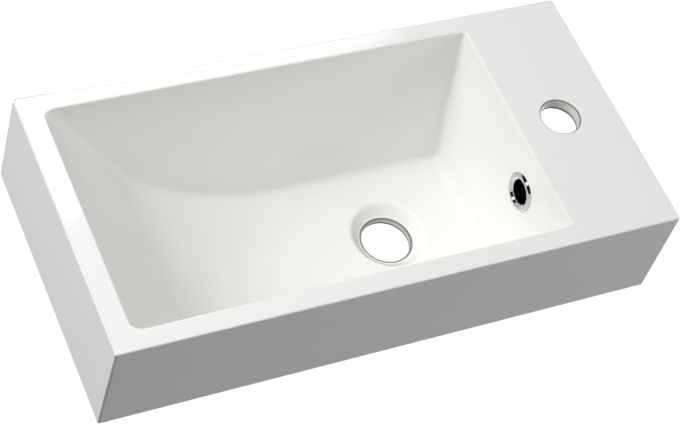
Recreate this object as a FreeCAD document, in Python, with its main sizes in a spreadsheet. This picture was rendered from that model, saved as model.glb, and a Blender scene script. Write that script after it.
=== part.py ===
import FreeCAD, Part
import math
import os

import Sketcher

# Hand basin cast in one piece, with a bowl shaped like a scoop and a tap ledge on its right.
# Every size stands once in this table, in millimetres or degrees.
SIZES = (
    ("top_length", 505, "top face, left to right"),
    ("top_depth", 248, "top face, front to wall"),
    ("skirt_height", 100, "top face down to the lower edge of the skirt"),
    ("skirt_flare", 1.5, "mould draft of the skirt at the front, left and right"),
    ("skirt_wall", 11, "skirt thickness under the top face's edge"),
    ("rim_thickness", 36, "top face down to the hollow beside the bowl"),
    ("ledge_thickness", 12, "top face down to the hollow under the tap ledge"),
    ("corner_radius", 2, "upright outer corners"),
    ("hollow_radius", 8, "upright corners of the hollow"),
    ("top_edge_radius", 1.5, "outer edge of the top face"),
    ("skirt_edge_bevel", 1, "outer lower edge of the skirt"),
    ("rim_left", 19, "rim width left of the bowl"),
    ("rim_side", 17, "rim width in front of the bowl and behind it"),
    ("ledge_length", 98, "bowl to right outer edge"),
    ("rim_edge_radius", 1.6, "edge between the top face and the bowl"),
    ("bowl_depth", 131, "top face down to the level floor"),
    ("ramp_angle", 48, "slope of the ramp at the left end"),
    ("knee_angle", 25, "slope where the ramp's arc meets the long arc"),
    ("ramp_radius", 121, "arc from the ramp to the knee"),
    ("sweep_radius", 288, "long arc from the knee to the floor"),
    ("side_angle", 74, "slope of the front and back walls"),
    ("end_angle", 87, "slope of the right wall"),
    ("side_round", 6, "round between the scoop and its front and back walls"),
    ("corner_round", 11, "the same round at the upper end of the ramp"),
    ("end_round", 3.5, "round in the upright corners at the right"),
    ("floor_end_round", 8, "round between the floor and the right wall"),
    ("shell_wall", 9, "thickness of the bowl"),
    ("shell_bevel", 8, "edges of the bowl's outside"),
    ("waste_setback", 88, "right edge of the bowl to the waste hole's axis"),
    ("waste_radius", 22.5, "waste hole"),
    ("dish_land", 3, "level ring between the waste hole and the dish's cone"),
    ("dish_radius", 34.5, "dish at the floor"),
    ("dish_depth", 9.5, "floor down to the level ring"),
    ("dish_edge_round", 4.5, "round between the floor and the dish"),
    ("seat_thickness", 7, "casting under the level ring"),
    ("seat_radius", 34, "flat seat under the waste hole"),
    ("seat_flare", 8, "how much wider the seat's boss is at its root"),
    ("seat_root", 14, "height of the seat's boss, its root in the bowl's shell"),
    ("tap_setback", 55, "right outer edge to the tap hole's axis"),
    ("tap_radius", 17.5, "tap hole"),
    ("hole_edge_bevel", 0.8, "upper edges of the tap hole and the waste hole"),
    ("wall_bolt_spacing", 420, "between the two wall bolt holes"),
    ("wall_bolt_drop", 70, "top face down to the wall bolts"),
    ("wall_bolt_radius", 6, "wall bolt hole"),
    ("wall_pad_radius", 16, "pad for the washer round a wall bolt hole"),
    ("wall_pad_height", 3, "how far the pad stands out of the wall"),
    ("overflow_drop", 43, "top face down to the overflow's axis at the bowl"),
    ("overflow_offset", 39.2, "overflow's axis in front of the basin's middle"),
    ("ring_bore_radius", 10.8, "clear bore of the overflow ring"),
    ("ring_stem_wall", 1.5, "wall of the ring's threaded stem"),
    ("ring_flange_radius", 17.6, "outside of the ring's flange"),
    ("ring_edge", 0.6, "straight edge round the flange"),
    ("ring_crown_radius", 13.6, "where the ring stands out furthest into the bowl"),
    ("ring_height", 2.4, "bowl's wall to the ring's crown"),
    ("ring_mouth_height", 1.2, "bowl's wall to the mouth of the ring's bore"),
    ("stem_clearance", 1, "between the stem and the hole in the casting"),
    ("gasket_thickness", 2, "gasket between the casting and the elbow"),
    ("gasket_clearance", 0.4, "between the stem and the gasket"),
    ("elbow_flange_radius", 19, "elbow's flange, also the gasket's outside"),
    ("elbow_flange_thickness", 3, "elbow's flange"),
    ("elbow_wall", 2.5, "wall of the elbow's housing"),
    ("elbow_length", 27, "gasket to the back of the elbow"),
    ("elbow_back_bevel", 4, "bevel at the back of the elbow"),
    ("thread_length", 8, "stretch of the stem inside the elbow"),
    ("thread_clearance", 0.1, "between the stem and the elbow's socket"),
    ("socket_length", 10, "depth of the elbow's socket"),
    ("spigot_radius", 9, "outside of the hose spigot"),
    ("spigot_wall", 2, "wall of the spigot"),
    ("neck_wall", 2, "neck between the housing and the spigot, beyond the spigot's outside"),
    ("neck_rest", 1, "neck's foot below the elbow's flange"),
    ("spigot_length", 20, "spigot below its neck"),
    ("spigot_setback", 11.5, "spigot's axis in front of the elbow's back"),
    ("spigot_lead", 1, "bevel at the spigot's mouth"),
    ("overrun", 10, "how far a cutting solid passes through a face"),
)

# Places that follow from the sizes, measured from the centre of the top face. The overflow's
# are measured along its own axis, from the bowl's right wall outwards.
PLACES = (
    ("half_length", "sizes.top_length / 2"),
    ("half_depth", "sizes.top_depth / 2"),
    ("bowl_left", "half_length - sizes.rim_left"),
    ("bowl_right", "half_length - sizes.ledge_length"),
    ("bowl_side", "half_depth - sizes.rim_side"),
    ("hollow_length", "half_length - sizes.skirt_wall"),
    ("hollow_depth", "half_depth - sizes.skirt_wall"),
    ("waste_across", "bowl_right - sizes.waste_setback"),
    ("tap_across", "half_length - sizes.tap_setback"),
    ("land_radius", "sizes.waste_radius + sizes.dish_land"),
    ("land_drop", "sizes.bowl_depth + sizes.dish_depth"),
    ("seat_drop", "land_drop + sizes.seat_thickness"),
    ("overflow_tilt", "90 - sizes.end_angle"),
    ("overflow_across", "bowl_right - sizes.overflow_drop * tan(overflow_tilt)"),
    ("stem_radius", "sizes.ring_bore_radius + sizes.ring_stem_wall"),
    ("elbow_seat", "sizes.shell_wall + sizes.gasket_thickness"),
    ("stem_end", "elbow_seat + sizes.thread_length"),
    ("socket_radius", "stem_radius + sizes.thread_clearance"),
    ("socket_end", "elbow_seat + sizes.socket_length"),
    ("housing_radius", "socket_radius + sizes.elbow_wall"),
    ("elbow_back", "elbow_seat + sizes.elbow_length"),
    ("chamber_end", "elbow_back - sizes.elbow_wall"),
    ("spigot_across", "elbow_back - sizes.spigot_setback"),
    ("spigot_bore", "sizes.spigot_radius - sizes.spigot_wall"),
    ("neck_drop", "sizes.elbow_flange_radius + sizes.neck_rest"),
    ("spigot_drop", "neck_drop + sizes.spigot_length"),
    ("dish_slope", "(sizes.dish_radius - land_radius) / sizes.dish_depth"),
)

# Places of the bowl, grown by nothing for its cavity or by the shell's thickness for its outside.
BOWL_PLACES = (
    ("floor", "-(sizes.bowl_depth + grow)"),
    ("ramp_radius", "sizes.ramp_radius + grow"),
    ("sweep_radius", "sizes.sweep_radius + grow"),
    ("left", "-(places.bowl_left + grow / sin(sizes.ramp_angle))"),
    ("right", "places.bowl_right + grow / sin(sizes.end_angle)"),
    ("knee_up", "floor + sweep_radius * (1 - cos(sizes.knee_angle))"),
    ("foot_up", "knee_up + ramp_radius * (cos(sizes.knee_angle) - cos(sizes.ramp_angle))"),
    ("foot", "left - foot_up / tan(sizes.ramp_angle)"),
    ("knee", "foot + ramp_radius * (sin(sizes.ramp_angle) - sin(sizes.knee_angle))"),
    ("ramp_centre", "foot + ramp_radius * sin(sizes.ramp_angle)"),
    ("ramp_centre_up", "foot_up + ramp_radius * cos(sizes.ramp_angle)"),
    ("floor_start", "knee + sweep_radius * sin(sizes.knee_angle)"),
    ("floor_end", "right + floor / tan(sizes.end_angle)"),
    ("head_left", "left - sizes.overrun / tan(sizes.ramp_angle)"),
    ("head_right", "right + sizes.overrun / tan(sizes.end_angle)"),
    ("side", "places.bowl_side + grow / sin(sizes.side_angle)"),
    ("side_low", "floor - sizes.overrun"),
    ("side_foot", "side + side_low / tan(sizes.side_angle)"),
    ("side_head", "side + top / tan(sizes.side_angle)"),
)

# Two numbers nearer than this are the same when edges are picked.
NEAR = 0.001

RIGHT = FreeCAD.Vector(1, 0, 0)
BACK = FreeCAD.Vector(0, 1, 0)
UP = FreeCAD.Vector(0, 0, 1)

doc = FreeCAD.newDocument("hand_basin")


# The sheet, and what is worked out from it

def fill_sheet():
    """Put each size in a cell that carries its name."""
    sheet = doc.addObject("Spreadsheet::Sheet", "sizes")
    for row, (name, number, meaning) in enumerate(SIZES, start=1):
        sheet.set("A%d" % row, meaning)
        sheet.set("B%d" % row, str(number))
        sheet.setAlias("B%d" % row, name)
    doc.recompute()


def fill_places(name, table):
    """Work out a table of places, each a property bound to its formula."""
    places = doc.addObject("App::VarSet", name)
    for place, formula in table:
        places.addProperty("App::PropertyFloat", place, "Places")
        places.setExpression(place, formula)
    doc.recompute()


def worth(formula):
    """The number that a formula comes to."""
    return float(doc.places.evalExpression(formula))


def bind(thing, **formulas):
    """Tie properties of an object to formulas. Two underscores in a name stand for a dot."""
    for name, formula in formulas.items():
        thing.setExpression(name.replace("__", "."), formula)


fill_sheet()
fill_places("places", PLACES)


# Sketching

def new_body(name):
    """A body whose label is its name."""
    body = doc.addObject("PartDesign::Body", name)
    body.Label = name
    return body


def origin_plane(body, role):
    """One of the body's own origin planes."""
    return next(item for item in body.Origin.OriginFeatures if item.Role == role)


def new_sketch(body, name, role, **offset):
    """A sketch on one of the body's own origin planes, moved off it by bound offsets."""
    sketch = body.newObject("Sketcher::SketchObject", name)
    sketch.AttachmentSupport = [(origin_plane(body, role), "")]
    sketch.MapMode = "FlatFace"
    bind(sketch, **offset)
    doc.recompute()
    return sketch


def point(across, up):
    """A point of a sketch from two formulas."""
    return FreeCAD.Vector(worth(across), worth(up), 0)


def dimension(sketch, kind, formula, *where):
    """Add a dimension that follows a formula."""
    number = worth(formula)
    if kind == "Angle":
        number = math.radians(number)
    index = sketch.addConstraint(Sketcher.Constraint(kind, *where, number))
    sketch.setExpression("Constraints[%d]" % index, formula)


def hold(sketch, curve, end, across=None, up=None):
    """Hold an end of a curve at signed formulas measured from the sketch's origin."""
    if across is not None:
        dimension(sketch, "DistanceX", across, -1, 1, curve, end)
    if up is not None:
        dimension(sketch, "DistanceY", up, -1, 1, curve, end)


def join(sketch, kind, *pairs):
    """Join the end of each first curve to the start of its second one."""
    for first, second in pairs:
        sketch.addConstraint(Sketcher.Constraint(kind, first, 2, second, 1))


def draw_line(sketch, start, end):
    """Draw a line between two points given by formulas."""
    return sketch.addGeometry(Part.LineSegment(point(*start), point(*end)))


def draw_arc(sketch, start, end, centre, radius):
    """Draw an arc against the clock from one point to another."""
    middle = point(*centre)
    spots = [point(*spot) - middle for spot in (start, end)]
    angles = [math.atan2(spot.y, spot.x) for spot in spots]
    arc = sketch.addGeometry(Part.ArcOfCircle(Part.Circle(middle, UP, worth(radius)), *angles))
    dimension(sketch, "Radius", radius, arc)
    return arc


def draw_polygon(sketch, corners):
    """Draw a closed polygon with every corner held at its formulas."""
    count = len(corners)
    lines = [draw_line(sketch, corners[index - 1], corners[index]) for index in range(count)]
    join(sketch, "Coincident", *((lines[index - 1], lines[index]) for index in range(count)))
    for line, corner in zip(lines, corners):
        hold(sketch, line, 2, *corner)


def draw_rectangle(sketch, left, right, low, high):
    """Draw a rectangle whose sides stand at four signed formulas."""
    draw_polygon(sketch, [(left, low), (right, low), (right, high), (left, high)])


def draw_circle(sketch, radius, across="0", up="0"):
    """Draw a circle round a centre that is held at its formulas."""
    circle = sketch.addGeometry(Part.Circle(point(across, up), UP, worth(radius)))
    dimension(sketch, "Radius", radius, circle)
    hold(sketch, circle, 3, across, up)


# Features and solids

def pad(body, sketch, length, side="One side", backwards=False):
    """Push a sketch out into a solid."""
    feature = body.newObject("PartDesign::Pad", sketch.Name + "_pad")
    feature.Profile = sketch
    feature.SideType = side
    feature.Reversed = backwards
    bind(feature, Length=length)
    doc.recompute()
    return feature


def pocket(body, sketch, depth, backwards=False):
    """Cut a sketch out of the solid, and make sure that something went."""
    before = body.Shape.Volume
    feature = body.newObject("PartDesign::Pocket", sketch.Name + "_cut")
    feature.Profile = sketch
    feature.Reversed = backwards
    bind(feature, Length=depth)
    doc.recompute()
    must_shrink(body, before, feature)


def turn(body, kind, sketch):
    """Turn a sketch a full circle about its level axis."""
    feature = body.newObject(kind, sketch.Name + "_turn")
    feature.Profile = sketch
    feature.ReferenceAxis = (sketch, ["H_Axis"])
    doc.recompute()
    return feature


def must_shrink(body, before, feature):
    """Stop when a cutting feature has taken nothing away."""
    if body.Shape.Volume > before - NEAR:
        raise RuntimeError(feature.Name + " cuts nothing")


def dress_edges(body, kind, name, wanted, **formulas):
    """Fillet or chamfer those edges of the body's tip that pass a test."""
    base = body.Tip
    names = ["Edge%d" % number for number, edge in enumerate(base.Shape.Edges, start=1) if wanted(edge)]
    if not names:
        raise RuntimeError(name + " finds no edge")
    feature = body.newObject(kind, name)
    feature.Base = (base, names)
    bind(feature, **formulas)
    doc.recompute()


def round_edges(body, name, radius, wanted):
    """Round those edges of the body's tip that pass a test."""
    dress_edges(body, "PartDesign::Fillet", name, wanted, Radius=radius)


def bevel_edges(body, name, size, wanted):
    """Bevel those edges of the body's tip that pass a test."""
    dress_edges(body, "PartDesign::Chamfer", name, wanted, Size=size)


def is_upright(edge):
    """True for a straight edge that runs up and down, or nearly."""
    box = edge.BoundBox
    return isinstance(edge.Curve, Part.Line) and box.ZLength > max(box.XLength, box.YLength) + NEAR


def is_level_at(edge, height):
    """True for an edge that lies in the level plane at a height."""
    return max(abs(edge.BoundBox.ZMin - height), abs(edge.BoundBox.ZMax - height)) < NEAR


def is_outside(edge, half_length, half_depth):
    """True for an edge that reaches out of a rectangle round the middle."""
    box = edge.BoundBox
    reach = (max(-box.XMin, box.XMax) - worth(half_length), max(-box.YMin, box.YMax) - worth(half_depth))
    return max(reach) > NEAR


def is_ring(edge, radius):
    """True for a full circle of a radius."""
    if not (edge.isClosed() and isinstance(edge.Curve, Part.Circle)):
        return False
    return abs(edge.Curve.Radius - worth(radius)) < NEAR


def combine(kind, name, **links):
    """A boolean of other objects of the document."""
    result = doc.addObject(kind, name)
    for link, value in links.items():
        setattr(result, link, value)
    result.Refine = True
    doc.recompute()
    return result


def about(axis):
    """A turn about an axis, by an angle that an expression then sets."""
    return FreeCAD.Rotation(axis, 1)


def cylinder(name, radius, height, foot, axis=UP, angle="0"):
    """A cylinder whose foot is at three formulas, leaning by an angle about an axis."""
    solid = doc.addObject("Part::Cylinder", name)
    solid.Placement.Rotation = about(axis)
    across, back, up = foot
    bind(solid, Radius=radius, Height=height, Placement__Base__x=across, Placement__Base__y=back,
         Placement__Base__z=up, Placement__Rotation__Angle=angle)
    return solid


def cone(name, low_radius, high_radius, height, across, up):
    """An upright cone in the basin's middle plane."""
    solid = doc.addObject("Part::Cone", name)
    bind(solid, Radius1=low_radius, Radius2=high_radius, Height=height,
         Placement__Base__x=across, Placement__Base__z=up)
    return solid


# The bowl, as a cavity and as the larger solid that leaves a shell round it

def bowl_solid(name, grow, top):
    """The bowl with sharp edges: what its lengthwise and its crosswise outline have in common."""
    table = name + "_places"
    fill_places(table, (("grow", grow), ("top", top)) + BOWL_PLACES)
    place = {key: table + "." + key for key, formula in BOWL_PLACES}
    scoop = new_body(name + "_scoop")
    lengthwise = new_sketch(scoop, name + "_lengthwise", "XZ_Plane")
    draw_scoop(lengthwise, place)
    pad(scoop, lengthwise, "sizes.top_depth", side="Symmetric")
    trough = new_body(name + "_trough")
    crosswise = new_sketch(trough, name + "_crosswise", "YZ_Plane")
    draw_polygon(crosswise, [("-" + place["side_foot"], place["side_low"]),
                             (place["side_foot"], place["side_low"]),
                             (place["side_head"], table + ".top"),
                             ("-" + place["side_head"], table + ".top")])
    pad(trough, crosswise, "sizes.top_length + 2 * sizes.overrun", side="Symmetric")
    return combine("Part::MultiCommon", name, Shapes=[scoop, trough])


def draw_scoop(sketch, place):
    """The lengthwise outline: ramp, two arcs, level floor and steep end, each tangent to the next."""
    head_left = (place["head_left"], "sizes.overrun")
    foot = (place["foot"], place["foot_up"])
    knee = (place["knee"], place["knee_up"])
    floor_start = (place["floor_start"], place["floor"])
    floor_end = (place["floor_end"], place["floor"])
    head_right = (place["head_right"], "sizes.overrun")
    sweep_centre = (place["floor_start"], place["floor"] + " + " + place["sweep_radius"])
    ramp = draw_line(sketch, head_left, foot)
    ramp_arc = draw_arc(sketch, foot, knee, (place["ramp_centre"], place["ramp_centre_up"]),
                        place["ramp_radius"])
    sweep = draw_arc(sketch, knee, floor_start, sweep_centre, place["sweep_radius"])
    floor = draw_line(sketch, floor_start, floor_end)
    end = draw_line(sketch, floor_end, head_right)
    head = draw_line(sketch, head_right, head_left)
    join(sketch, "Tangent", (ramp, ramp_arc), (ramp_arc, sweep), (sweep, floor))
    join(sketch, "Coincident", (floor, end), (end, head), (head, ramp))
    for level in (floor, head):
        sketch.addConstraint(Sketcher.Constraint("Horizontal", level))
    dimension(sketch, "Angle", "sizes.knee_angle", sweep)
    dimension(sketch, "Angle", "-sizes.ramp_angle", ramp)
    hold(sketch, ramp, 1, *head_left)
    hold(sketch, floor, 2, *floor_end)
    hold(sketch, end, 2, head_right[0])


def wall_of(face):
    """Which part of a bowl solid a face is, by its surface and by the way it looks."""
    if isinstance(face.Surface, Part.Cone):
        return "cone"
    if isinstance(face.Surface, Part.Cylinder) and abs(face.Surface.Axis.z) > 1 - NEAR:
        return "bore"
    low_u, high_u, low_v, high_v = face.ParameterRange
    normal = face.normalAt((low_u + high_u) / 2, (low_v + high_v) / 2)
    if abs(normal.y) > abs(normal.x) and abs(normal.y) > abs(normal.z):
        return "side"
    if normal.x > abs(normal.z):
        return "end"
    if normal.z > 0:
        return "head"
    if isinstance(face.Surface, Part.Plane) and normal.x < -NEAR:
        return "ramp"
    return "scoop" if face.CenterOfMass.z > -worth("places.land_drop") + NEAR else "land"


def dress_bowl(source, kind, amounts):
    """Fillet or chamfer the edges of a bowl solid, each by the two walls that it parts.

    The two amounts for an edge are those at its lower and at its upper end.
    """
    edges = []
    for number, edge in enumerate(source.Shape.Edges, start=1):
        walls = tuple(sorted({wall_of(face) for face in source.Shape.ancestorsOfType(edge, Part.Face)}))
        if walls in amounts:
            low, high = [worth(amount) for amount in amounts[walls]]
            upwards = edge.lastVertex().Point.z > edge.firstVertex().Point.z
            edges.append((number, low, high) if upwards else (number, high, low))
    result = doc.addObject(kind, source.Name + "_dressed")
    result.Base = source
    result.Edges = edges
    doc.recompute()
    return result


def make_cavity():
    """What the casting leaves free inside the bowl, with the dish and the waste hole."""
    bowl = bowl_solid("cavity", "0", "sizes.overrun")
    dish = cone("dish", "places.land_radius", "sizes.dish_radius + sizes.overrun * places.dish_slope",
                "sizes.dish_depth + sizes.overrun", "places.waste_across", "-places.land_drop")
    waste = cylinder("waste_bore", "sizes.waste_radius", "sizes.seat_thickness + 2 * sizes.overrun",
                     ("places.waste_across", "0", "-places.seat_drop - sizes.overrun"))
    whole = combine("Part::MultiFuse", "cavity_with_dish", Shapes=[bowl, dish, waste])
    return dress_bowl(whole, "Part::Fillet", {
        ("ramp", "side"): ("sizes.side_round", "sizes.corner_round"),
        ("scoop", "side"): ("sizes.side_round", "sizes.side_round"),
        ("end", "side"): ("sizes.end_round", "sizes.end_round"),
        ("end", "scoop"): ("sizes.floor_end_round", "sizes.floor_end_round"),
        ("cone", "scoop"): ("sizes.dish_edge_round", "sizes.dish_edge_round"),
    })


def make_shell():
    """The outside of the bowl, with the boss that carries the seat of the waste."""
    bowl = bowl_solid("shell", "sizes.shell_wall", "-sizes.ledge_thickness / 2")
    boss = cone("seat_boss", "sizes.seat_radius", "sizes.seat_radius + sizes.seat_flare",
                "sizes.seat_root", "places.waste_across", "-places.seat_drop")
    whole = combine("Part::MultiFuse", "shell_with_boss", Shapes=[bowl, boss])
    walls = (("ramp", "side"), ("scoop", "side"), ("end", "side"), ("end", "scoop"))
    bevel = ("sizes.shell_bevel", "sizes.shell_bevel")
    return dress_bowl(whole, "Part::Chamfer", dict.fromkeys(walls, bevel))


# The casting

def make_casing():
    """The rectangular top with its skirt, hollow from below."""
    body = new_body("casing")
    outline = new_sketch(body, "casing_outline", "XY_Plane")
    draw_rectangle(outline, "-places.half_length", "places.half_length",
                   "-places.half_depth", "places.half_depth")
    block = pad(body, outline, "sizes.skirt_height", backwards=True)
    walls = []
    for number, face in enumerate(block.Shape.Faces, start=1):
        normal = face.normalAt(0, 0)
        if abs(normal.z) < NEAR and normal.y < 1 - NEAR:
            walls.append("Face%d" % number)
    draft = body.newObject("PartDesign::Draft", "casing_draft")
    draft.Base = (block, walls)
    draft.NeutralPlane = (origin_plane(body, "XY_Plane"), [""])
    bind(draft, Angle="atan(sizes.skirt_flare / sizes.skirt_height)")
    doc.recompute()
    round_edges(body, "casing_corners", "sizes.corner_radius", is_upright)
    beside = new_sketch(body, "hollow_under_ledge", "XY_Plane",
                        AttachmentOffset__Base__z="-sizes.skirt_height")
    draw_rectangle(beside, "places.bowl_right + sizes.shell_wall / 2", "places.hollow_length",
                   "-places.hollow_depth", "places.hollow_depth")
    pocket(body, beside, "sizes.skirt_height - sizes.ledge_thickness", backwards=True)
    under = new_sketch(body, "hollow_round_bowl", "XY_Plane",
                       AttachmentOffset__Base__z="-sizes.skirt_height")
    draw_rectangle(under, "-places.hollow_length", "places.hollow_length",
                   "-places.hollow_depth", "places.hollow_depth")
    pocket(body, under, "sizes.skirt_height - sizes.rim_thickness", backwards=True)
    round_edges(body, "hollow_corners", "sizes.hollow_radius",
                lambda edge: is_upright(edge) and not is_outside(
                    edge, "places.hollow_length", "places.hollow_depth"))
    return body


def make_mass(cutters):
    """The whole casting with every hole, its top edges still sharp."""
    solids = [make_casing(), make_shell()]
    for name, side in (("left", "-"), ("right", "")):
        across = side + "sizes.wall_bolt_spacing / 2"
        in_wall = (across, "places.half_depth - sizes.skirt_wall / 2", "-sizes.wall_bolt_drop")
        behind = (across, "places.half_depth + sizes.overrun", "-sizes.wall_bolt_drop")
        solids.append(cylinder(name + "_wall_pad", "sizes.wall_pad_radius",
                               "sizes.wall_pad_height + sizes.skirt_wall / 2", in_wall, RIGHT, "90"))
        cutters.append(cylinder(name + "_wall_bolt_bore", "sizes.wall_bolt_radius",
                                "sizes.wall_pad_height + sizes.skirt_wall + 2 * sizes.overrun",
                                behind, RIGHT, "90"))
    mass = combine("Part::MultiFuse", "mass", Shapes=solids)
    holes = combine("Part::MultiFuse", "holes", Shapes=cutters)
    return combine("Part::Cut", "casting", Base=mass, Tool=holes)


def make_basin_body():
    """The casting with its visible edges rounded."""
    cavity = make_cavity()
    tap = cylinder("tap_bore", "sizes.tap_radius", "sizes.ledge_thickness + 2 * sizes.overrun",
                   ("places.tap_across", "0", "-sizes.ledge_thickness - sizes.overrun"))
    overflow = cylinder("overflow_bore", "places.stem_radius + sizes.stem_clearance",
                        "sizes.shell_wall + 2 * sizes.overrun",
                        ("places.overflow_across - sizes.overrun * cos(places.overflow_tilt)",
                         "-sizes.overflow_offset",
                         "-sizes.overflow_drop + sizes.overrun * sin(places.overflow_tilt)"),
                        BACK, "90 + places.overflow_tilt")
    body = new_body("basin_body")
    body.BaseFeature = make_mass([cavity, tap, overflow])
    doc.recompute()
    round_edges(body, "top_edge", "sizes.top_edge_radius",
                lambda edge: is_level_at(edge, 0) and is_outside(edge, "places.hollow_length",
                                                                 "places.hollow_depth"))
    round_edges(body, "rim_edge", "sizes.rim_edge_radius",
                lambda edge: is_level_at(edge, 0) and edge.BoundBox.XMax < worth("places.bowl_right") + NEAR
                and not is_outside(edge, "places.bowl_left", "places.bowl_side"))
    bevel_edges(body, "skirt_edge", "sizes.skirt_edge_bevel",
                lambda edge: is_level_at(edge, -worth("sizes.skirt_height"))
                and is_outside(edge, "places.hollow_length", "places.hollow_depth"))
    bevel_edges(body, "hole_edges", "sizes.hole_edge_bevel",
                lambda edge: (is_ring(edge, "sizes.tap_radius") and is_level_at(edge, 0))
                or (is_ring(edge, "sizes.waste_radius") and is_level_at(edge, -worth("places.land_drop"))))
    bind(body, Placement__Base__y="-places.half_depth", Placement__Base__z="sizes.wall_bolt_drop")
    return body


# The overflow, each piece lying along the X axis from the bowl's wall outwards

def lay_along_overflow(body):
    """Put a piece that lies along its own X axis on the overflow's axis."""
    body.Placement.Rotation = about(BACK)
    bind(body, Placement__Base__x="places.overflow_across",
         Placement__Base__y="-sizes.overflow_offset - places.half_depth",
         Placement__Base__z="-sizes.overflow_drop + sizes.wall_bolt_drop",
         Placement__Rotation__Angle="places.overflow_tilt")
    return body


def make_overflow_ring():
    """The ring in the bowl's right wall: a flange that slopes off both ways from its crown, on a stem."""
    body = new_body("overflow_ring")
    profile = new_sketch(body, "ring_profile", "XZ_Plane")
    draw_polygon(profile, [("-sizes.ring_mouth_height", "sizes.ring_bore_radius"),
                           ("places.stem_end", "sizes.ring_bore_radius"),
                           ("places.stem_end", "places.stem_radius"),
                           ("0", "places.stem_radius"),
                           ("0", "sizes.ring_flange_radius"),
                           ("-sizes.ring_edge", "sizes.ring_flange_radius"),
                           ("-sizes.ring_height", "sizes.ring_crown_radius")])
    turn(body, "PartDesign::Revolution", profile)
    return lay_along_overflow(body)


def make_overflow_gasket():
    """The flat gasket between the casting and the elbow."""
    body = new_body("overflow_gasket")
    outline = new_sketch(body, "gasket_outline", "YZ_Plane", AttachmentOffset__Base__z="sizes.shell_wall")
    draw_circle(outline, "sizes.elbow_flange_radius")
    draw_circle(outline, "places.stem_radius + sizes.gasket_clearance")
    pad(body, outline, "sizes.gasket_thickness")
    return lay_along_overflow(body)


def make_overflow_elbow():
    """The elbow behind the gasket: a round housing that turns down into a hose spigot."""
    body = new_body("overflow_elbow")
    housing = new_sketch(body, "elbow_housing", "XZ_Plane")
    flange_end = "places.elbow_seat + sizes.elbow_flange_thickness"
    draw_polygon(housing, [("places.elbow_seat", "0"), ("places.elbow_seat", "sizes.elbow_flange_radius"),
                           (flange_end, "sizes.elbow_flange_radius"), (flange_end, "places.housing_radius"),
                           ("places.elbow_back", "places.housing_radius"), ("places.elbow_back", "0")])
    turn(body, "PartDesign::Revolution", housing)
    bevel_edges(body, "elbow_back_edge", "sizes.elbow_back_bevel",
                lambda edge: is_ring(edge, "places.housing_radius")
                and abs(edge.BoundBox.XMin - worth("places.elbow_back")) < NEAR)
    for name, radius, drop in (("elbow_neck", "sizes.spigot_radius + sizes.neck_wall", "places.neck_drop"),
                               ("elbow_spigot", "sizes.spigot_radius", "places.spigot_drop")):
        outline = new_sketch(body, name, "XY_Plane")
        draw_circle(outline, radius, "places.spigot_across")
        pad(body, outline, drop, backwards=True)
    bevel_edges(body, "spigot_mouth", "sizes.spigot_lead",
                lambda edge: is_level_at(edge, -worth("places.spigot_drop")))
    chamber = new_sketch(body, "elbow_chamber", "XZ_Plane")
    mouth_start = "places.elbow_seat - sizes.overrun"
    draw_polygon(chamber, [(mouth_start, "0"), (mouth_start, "places.socket_radius"),
                           ("places.socket_end", "places.socket_radius"),
                           ("places.socket_end", "sizes.ring_bore_radius"),
                           ("places.chamber_end", "sizes.ring_bore_radius"), ("places.chamber_end", "0")])
    before = body.Shape.Volume
    must_shrink(body, before, turn(body, "PartDesign::Groove", chamber))
    bore = new_sketch(body, "elbow_spigot_bore", "XY_Plane")
    draw_circle(bore, "places.spigot_bore", "places.spigot_across")
    pocket(body, bore, "places.spigot_drop + sizes.overrun")
    return lay_along_overflow(body)


def export(pieces):
    """Check every object of the document, then write each piece to its own file."""
    doc.recompute()
    for item in doc.Objects:
        if "Invalid" in item.State or "Error" in item.State:
            raise RuntimeError(item.Name + " is in a bad state")
        if hasattr(item, "Shape") and (item.Shape.isNull() or not item.Shape.isValid()):
            raise RuntimeError(item.Name + " has a bad shape")
    os.makedirs("parts", exist_ok=True)
    for piece in pieces:
        piece.Shape.exportStep("parts/%s.step" % piece.Label)


export([make_basin_body(), make_overflow_ring(), make_overflow_gasket(), make_overflow_elbow()])
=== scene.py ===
import math

import bmesh
import bpy
from mathutils import Euler, Matrix, Vector


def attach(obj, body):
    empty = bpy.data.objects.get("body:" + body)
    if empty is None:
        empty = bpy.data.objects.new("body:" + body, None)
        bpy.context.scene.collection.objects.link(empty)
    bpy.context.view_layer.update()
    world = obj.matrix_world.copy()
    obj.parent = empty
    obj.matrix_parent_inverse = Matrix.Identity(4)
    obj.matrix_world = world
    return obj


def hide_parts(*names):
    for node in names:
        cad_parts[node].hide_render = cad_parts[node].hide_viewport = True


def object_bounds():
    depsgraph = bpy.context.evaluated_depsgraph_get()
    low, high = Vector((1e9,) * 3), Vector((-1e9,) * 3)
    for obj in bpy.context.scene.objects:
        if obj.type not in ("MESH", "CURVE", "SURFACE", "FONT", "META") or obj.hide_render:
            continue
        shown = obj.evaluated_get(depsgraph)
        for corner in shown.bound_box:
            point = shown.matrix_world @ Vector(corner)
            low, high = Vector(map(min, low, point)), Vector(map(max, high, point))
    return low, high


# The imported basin, in metres. The origin is on the wall, midway between the two wall bolts;
# X runs to the tap ledge, Y into the wall, Z up.
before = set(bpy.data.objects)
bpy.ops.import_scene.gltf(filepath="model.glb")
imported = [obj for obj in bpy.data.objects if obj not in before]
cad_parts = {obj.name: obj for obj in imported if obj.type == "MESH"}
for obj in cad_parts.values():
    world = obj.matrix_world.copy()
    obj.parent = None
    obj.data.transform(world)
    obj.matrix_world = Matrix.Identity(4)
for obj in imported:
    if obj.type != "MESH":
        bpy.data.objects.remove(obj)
CAD_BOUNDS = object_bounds()

bl_info = {
    "name": "Hand Basin",
    "version": (1, 0, 0),
    "blender": (4, 5, 0),
    "location": "3D View > Sidebar > Basin",
    "description": "Builds a cast hand basin with its overflow set, and a studio round it",
    "category": "Object",
}

MM = 0.001
BODY = "root"

# Two lengths nearer than this are the same when edges are picked.
NEAR = 0.02 * MM

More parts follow.
